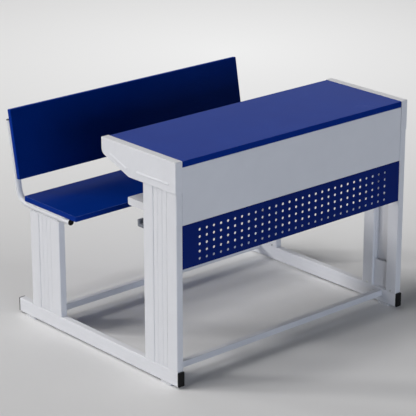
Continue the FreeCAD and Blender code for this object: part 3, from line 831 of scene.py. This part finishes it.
# %% [markdown]
# A cross rail's end is a square with rounded corners. The bead goes once round it. Arcs could follow
# the corners, but their radius is less than the length of one puddle, so a straight run cuts each
# of them short.

# %% Welds round the cross rails
rail_bead_radius = 0.0022
rail_bead_inset_share = 0.4
rail_corner = 0.0025

rail_welds = []
for rail_name in ("front_cross_rail", "rear_cross_rail"):
    low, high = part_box(rail_name)
    for side, end_x, inwards in (("left", low.x, 1), ("right", high.x, -1)):
        x = end_x + inwards * rail_bead_radius * rail_bead_inset_share
        corners = []
        for y, z in ((low.y, low.z), (high.y, low.z), (high.y, high.z), (low.y, high.z)):
            to_middle_y = rail_corner if y == low.y else -rail_corner
            to_middle_z = rail_corner if z == low.z else -rail_corner
            first = Vector((x, y + to_middle_y, z))
            second = Vector((x, y, z + to_middle_z))
            corners += [first, second] if (y == low.y) == (z == high.z) else [second, first]
        name = "_".join((side, rail_name, "weld"))
        rail_welds.append(weld_bead(name, corners, rail_bead_radius, True))
print("rail welds:", len(rail_welds), "with", len(rail_welds[0].data.vertices), "points each")

# %% [markdown]
# A round tube on a flat plate leaves a crevice on each side. A bead of radius b that touches both
# the plate and a tube of radius r sits 2 * sqrt(r * b) away from the line where they meet. Each
# plate faces the tube another way, so its face and its two ends are measured along the direction
# out of the plate and the direction along the tube.

# %% Welds along the seat tubes
tube_bead_radius = 0.0018
tube_bead_lift_share = 0.8
weld_stop = 0.012
backwards = Vector((0.0, 1.0, 0.0))
upwards = Vector((0.0, 0.0, 1.0))
up_the_back = upwards * math.cos(backrest_lean) + backwards * math.sin(backrest_lean)
out_of_the_back = Vector(through_backrest)
plates = {
    "column_plate": (upwards, backwards),
    "seat_plate": (-upwards, backwards),
    "back_plate": (out_of_the_back, up_the_back),
}

tube_welds = []
for side in ("left", "right"):
    tube_low, tube_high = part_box(side + "_seat_tube")
    tube_middle = (tube_low.x + tube_high.x) / 2
    tube_radius = (tube_high.x - tube_low.x) / 2
    crevice = 2 * math.sqrt(tube_radius * tube_bead_radius)
    for plate_name, (outwards, along) in plates.items():
        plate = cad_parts[side + "_" + plate_name]
        spots = [plate.matrix_world @ vertex.co for vertex in plate.data.vertices]
        plate_face = max(spot.dot(outwards) for spot in spots)
        bead_height = plate_face + tube_bead_radius * tube_bead_lift_share
        start = min(spot.dot(along) for spot in spots) + weld_stop
        end = max(spot.dot(along) for spot in spots) - weld_stop
        for edge, x in (("low_x", tube_middle - crevice), ("high_x", tube_middle + crevice)):
            foot = Vector((x, 0.0, 0.0)) + outwards * bead_height
            run = [foot + along * start, foot + along * end]
            name = "_".join((side, plate_name, edge, "weld"))
            tube_welds.append(weld_bead(name, run, tube_bead_radius, False))
print("tube welds:", len(tube_welds))

# %% [markdown]
# ## Light
# Product pictures of furniture are taken between large soft lamps. Here the main light comes from
# three small lamps behind the desk and to its left. They stand 14 to 25 degrees high, so each rail
# throws a band of shade on the floor in front of it, with a lit strip between band and rail, and
# they make the side of the near frame the brightest face. More lamps climb over the desk from the
# left, and the front gets only a cool fill, which keeps the front panel a calm grey. A weak fill on
# the right keeps the far side readable. Both fills are kept out of reflections, or the level boards
# would mirror them as white patches to someone on the other side. Each lamp's place is given as a
# turn and a height angle at one distance, as a studio hand would call it out. A lamp's size counts
# too: the large ones melt their shadows away, and the small ones leave the edges that the floor
# shows.

# %% Soft lamps
lamp_target = Vector((0.0, 0.0, 0.4))
lamp_distance = 24.0
neutral = (1.0, 0.985, 0.97)
cool = (0.74, 0.83, 1.0)
small_lamp = (2.8, 2.8)
large_bank = (8.0, 8.0)
front_sheet = (10.0, 6.4)
side_sheet = (12.0, 3.2)


def soft_lamp(name, turn_degrees, height_degrees, size, power, colour):
    """A lamp this wide and tall that faces the desk; the turn is counted from +X towards +Y."""
    light = bpy.data.lights.new(name, "AREA")
    light.shape = "RECTANGLE"
    light.size, light.size_y = size
    light.energy = power
    light.color = colour
    lamp = bpy.data.objects.new(name, light)
    turn = math.radians(turn_degrees)
    height = math.radians(height_degrees)
    level = math.cos(height)
    outwards = Vector((level * math.cos(turn), level * math.sin(turn), math.sin(height)))
    facing = (-outwards).to_track_quat("-Z", "Y").to_matrix().to_4x4()
    lamp.matrix_world = Matrix.Translation(lamp_target + outwards * lamp_distance) @ facing
    scene.collection.objects.link(lamp)
    return lamp


# Each lamp has a name, a turn, a height angle, a size, a power in watts and a colour
lamps = [
    soft_lamp("rear_key", 135.0, 25.0, small_lamp, 1640.0, neutral),
    soft_lamp("rear_right", 120.0, 25.0, small_lamp, 585.0, neutral),
    soft_lamp("low_left", 150.0, 14.0, small_lamp, 760.0, neutral),
    soft_lamp("upper_left", 150.0, 60.0, small_lamp, 300.0, neutral),
    soft_lamp("top_left", 180.0, 74.0, small_lamp, 690.0, neutral),
    soft_lamp("left_bank", 150.0, 40.0, large_bank, 385.0, neutral),
    soft_lamp("high_bank", 150.0, 65.0, large_bank, 1250.0, neutral),
]
fills = [
    soft_lamp("front_fill", 250.0, 8.5, front_sheet, 1820.0, cool),
    soft_lamp("right_fill", 0.0, 4.0, side_sheet, 1040.0, neutral),
]
for fill in fills:
    fill.visible_glossy = False
print("lamps:", [lamp.name for lamp in lamps + fills])

# %% [markdown]
# ## Room
# The world stands for the white walls of the studio. A white world would also light the desk from
# all sides and wash its shadows out. So the camera and reflections see a pale wall, and other rays
# get only a faint fill.

# %% World
wall_colour = (1.0, 1.0, 1.0, 1.0)
wall_fill = 0.02
wall_seen = 0.86


def rays_that_see(tree):
    """1 for the camera's own rays, for reflections and for rays let through, 0 for the rest."""
    rays = place_node(tree, "ShaderNodeLightPath", {}).outputs
    direct = reckon(tree, "MAXIMUM", rays["Is Camera Ray"], rays["Is Glossy Ray"])
    return reckon(tree, "MAXIMUM", direct, rays["Is Transmission Ray"])


world = bpy.data.worlds.new("studio_walls")
world.use_nodes = True
scene.world = world
walls = world.node_tree
background = walls.nodes["Background"]
background.inputs["Color"].default_value = wall_colour
wall_strength = from_mask(walls, rays_that_see(walls), low=wall_fill, high=wall_seen)
walls.links.new(wall_strength, background.inputs["Strength"])
print("world:", world.name)

# %% [markdown]
# ## Floor
# The desk stands on a plain pale floor that runs back into the wall without a line. A studio does
# this with a sheet that curves up behind the object, but its edges would show from other sides. A
# large flat disc has none nearby, and its finish can turn into the wall.

# %% Floor disc
floor_radius = 30.0
floor_sides = 96

disc = bmesh.new()
bmesh.ops.create_circle(
    disc, cap_ends=True, cap_tris=True, segments=floor_sides, radius=floor_radius
)
floor_mesh = bpy.data.meshes.new("studio_floor")
disc.to_mesh(floor_mesh)
disc.free()
floor = bpy.data.objects.new("studio_floor", floor_mesh)
scene.collection.objects.link(floor)
print("floor radius:", floor_radius)

# %% [markdown]
# Near the desk the floor is an ordinary matt one that takes shadows. Behind the desk it turns into
# a pool of pale glow that only the camera and reflections see, which stands for the lit wall there,
# and far out it is all wall. The matt floor comes first.

# %% Floor finish
floor_gloss = 0.1
deep_floor = screen_colour(219, 219, 219)
pale_floor = screen_colour(223, 223, 223)
mottle_per_metre = 3.0
mottle_detail = 3.0

floor_finish = bpy.data.materials.new("studio_floor_finish")
floor_finish.use_nodes = True
floor_tree = floor_finish.node_tree
matt = floor_tree.nodes["Principled BSDF"]
matt.inputs["Specular IOR Level"].default_value = floor_gloss
mottle = noise_at(floor_tree, place_on_desk(floor_tree), mottle_per_metre, mottle_detail)
feed(
    floor_tree, matt,
    base_color=mixed(floor_tree, mottle, deep_floor, pale_floor),
    roughness=from_noise(floor_tree, mottle, low=0.7, high=0.8),
)
floor_mesh.materials.append(floor_finish)
print("floor finish:", floor_finish.name)

# %% [markdown]
# The glow is laid over the matt floor by distance alone: it fades with the distance from the middle
# of the pool and grows again with the distance from the desk.

# %% Glow of the wall
desk_centre = (0.0, 0.0, 0.0)
pool_centre = (2.4, 2.55, 0.0)
pool_radius = 3.2
pool_falloff = 0.7
wall_starts = 5.0
wall_full = 9.0
glow_colour = screen_colour(239, 239, 239)


def distance_from(tree, centre):
    """How far the shaded point is from a place, in metres."""
    inputs = {0: place_on_desk(tree), 1: centre}
    return place_node(tree, "ShaderNodeVectorMath", inputs, operation="DISTANCE").outputs["Value"]


from_pool = distance_from(floor_tree, pool_centre)
from_desk = distance_from(floor_tree, desk_centre)
pool_depth = stretched(floor_tree, from_pool, 0.0, pool_radius, 1.0, 0.0)
pool_share = reckon(floor_tree, "POWER", pool_depth, pool_falloff)
wall_share = stretched(floor_tree, from_desk, wall_starts, wall_full, 0.0, 1.0)
glow_share = reckon(floor_tree, "MAXIMUM", pool_share, wall_share)
seen_share = product(floor_tree, glow_share, rays_that_see(floor_tree))
glow = place_node(floor_tree, "ShaderNodeEmission", {"Color": glow_colour, "Strength": 1.0})
blend = place_node(
    floor_tree, "ShaderNodeMixShader", {0: seen_share, 1: matt.outputs[0], 2: glow.outputs[0]}
)
floor_tree.links.new(blend.outputs[0], floor_tree.nodes["Material Output"].inputs["Surface"])
print("glow pool radius:", pool_radius)
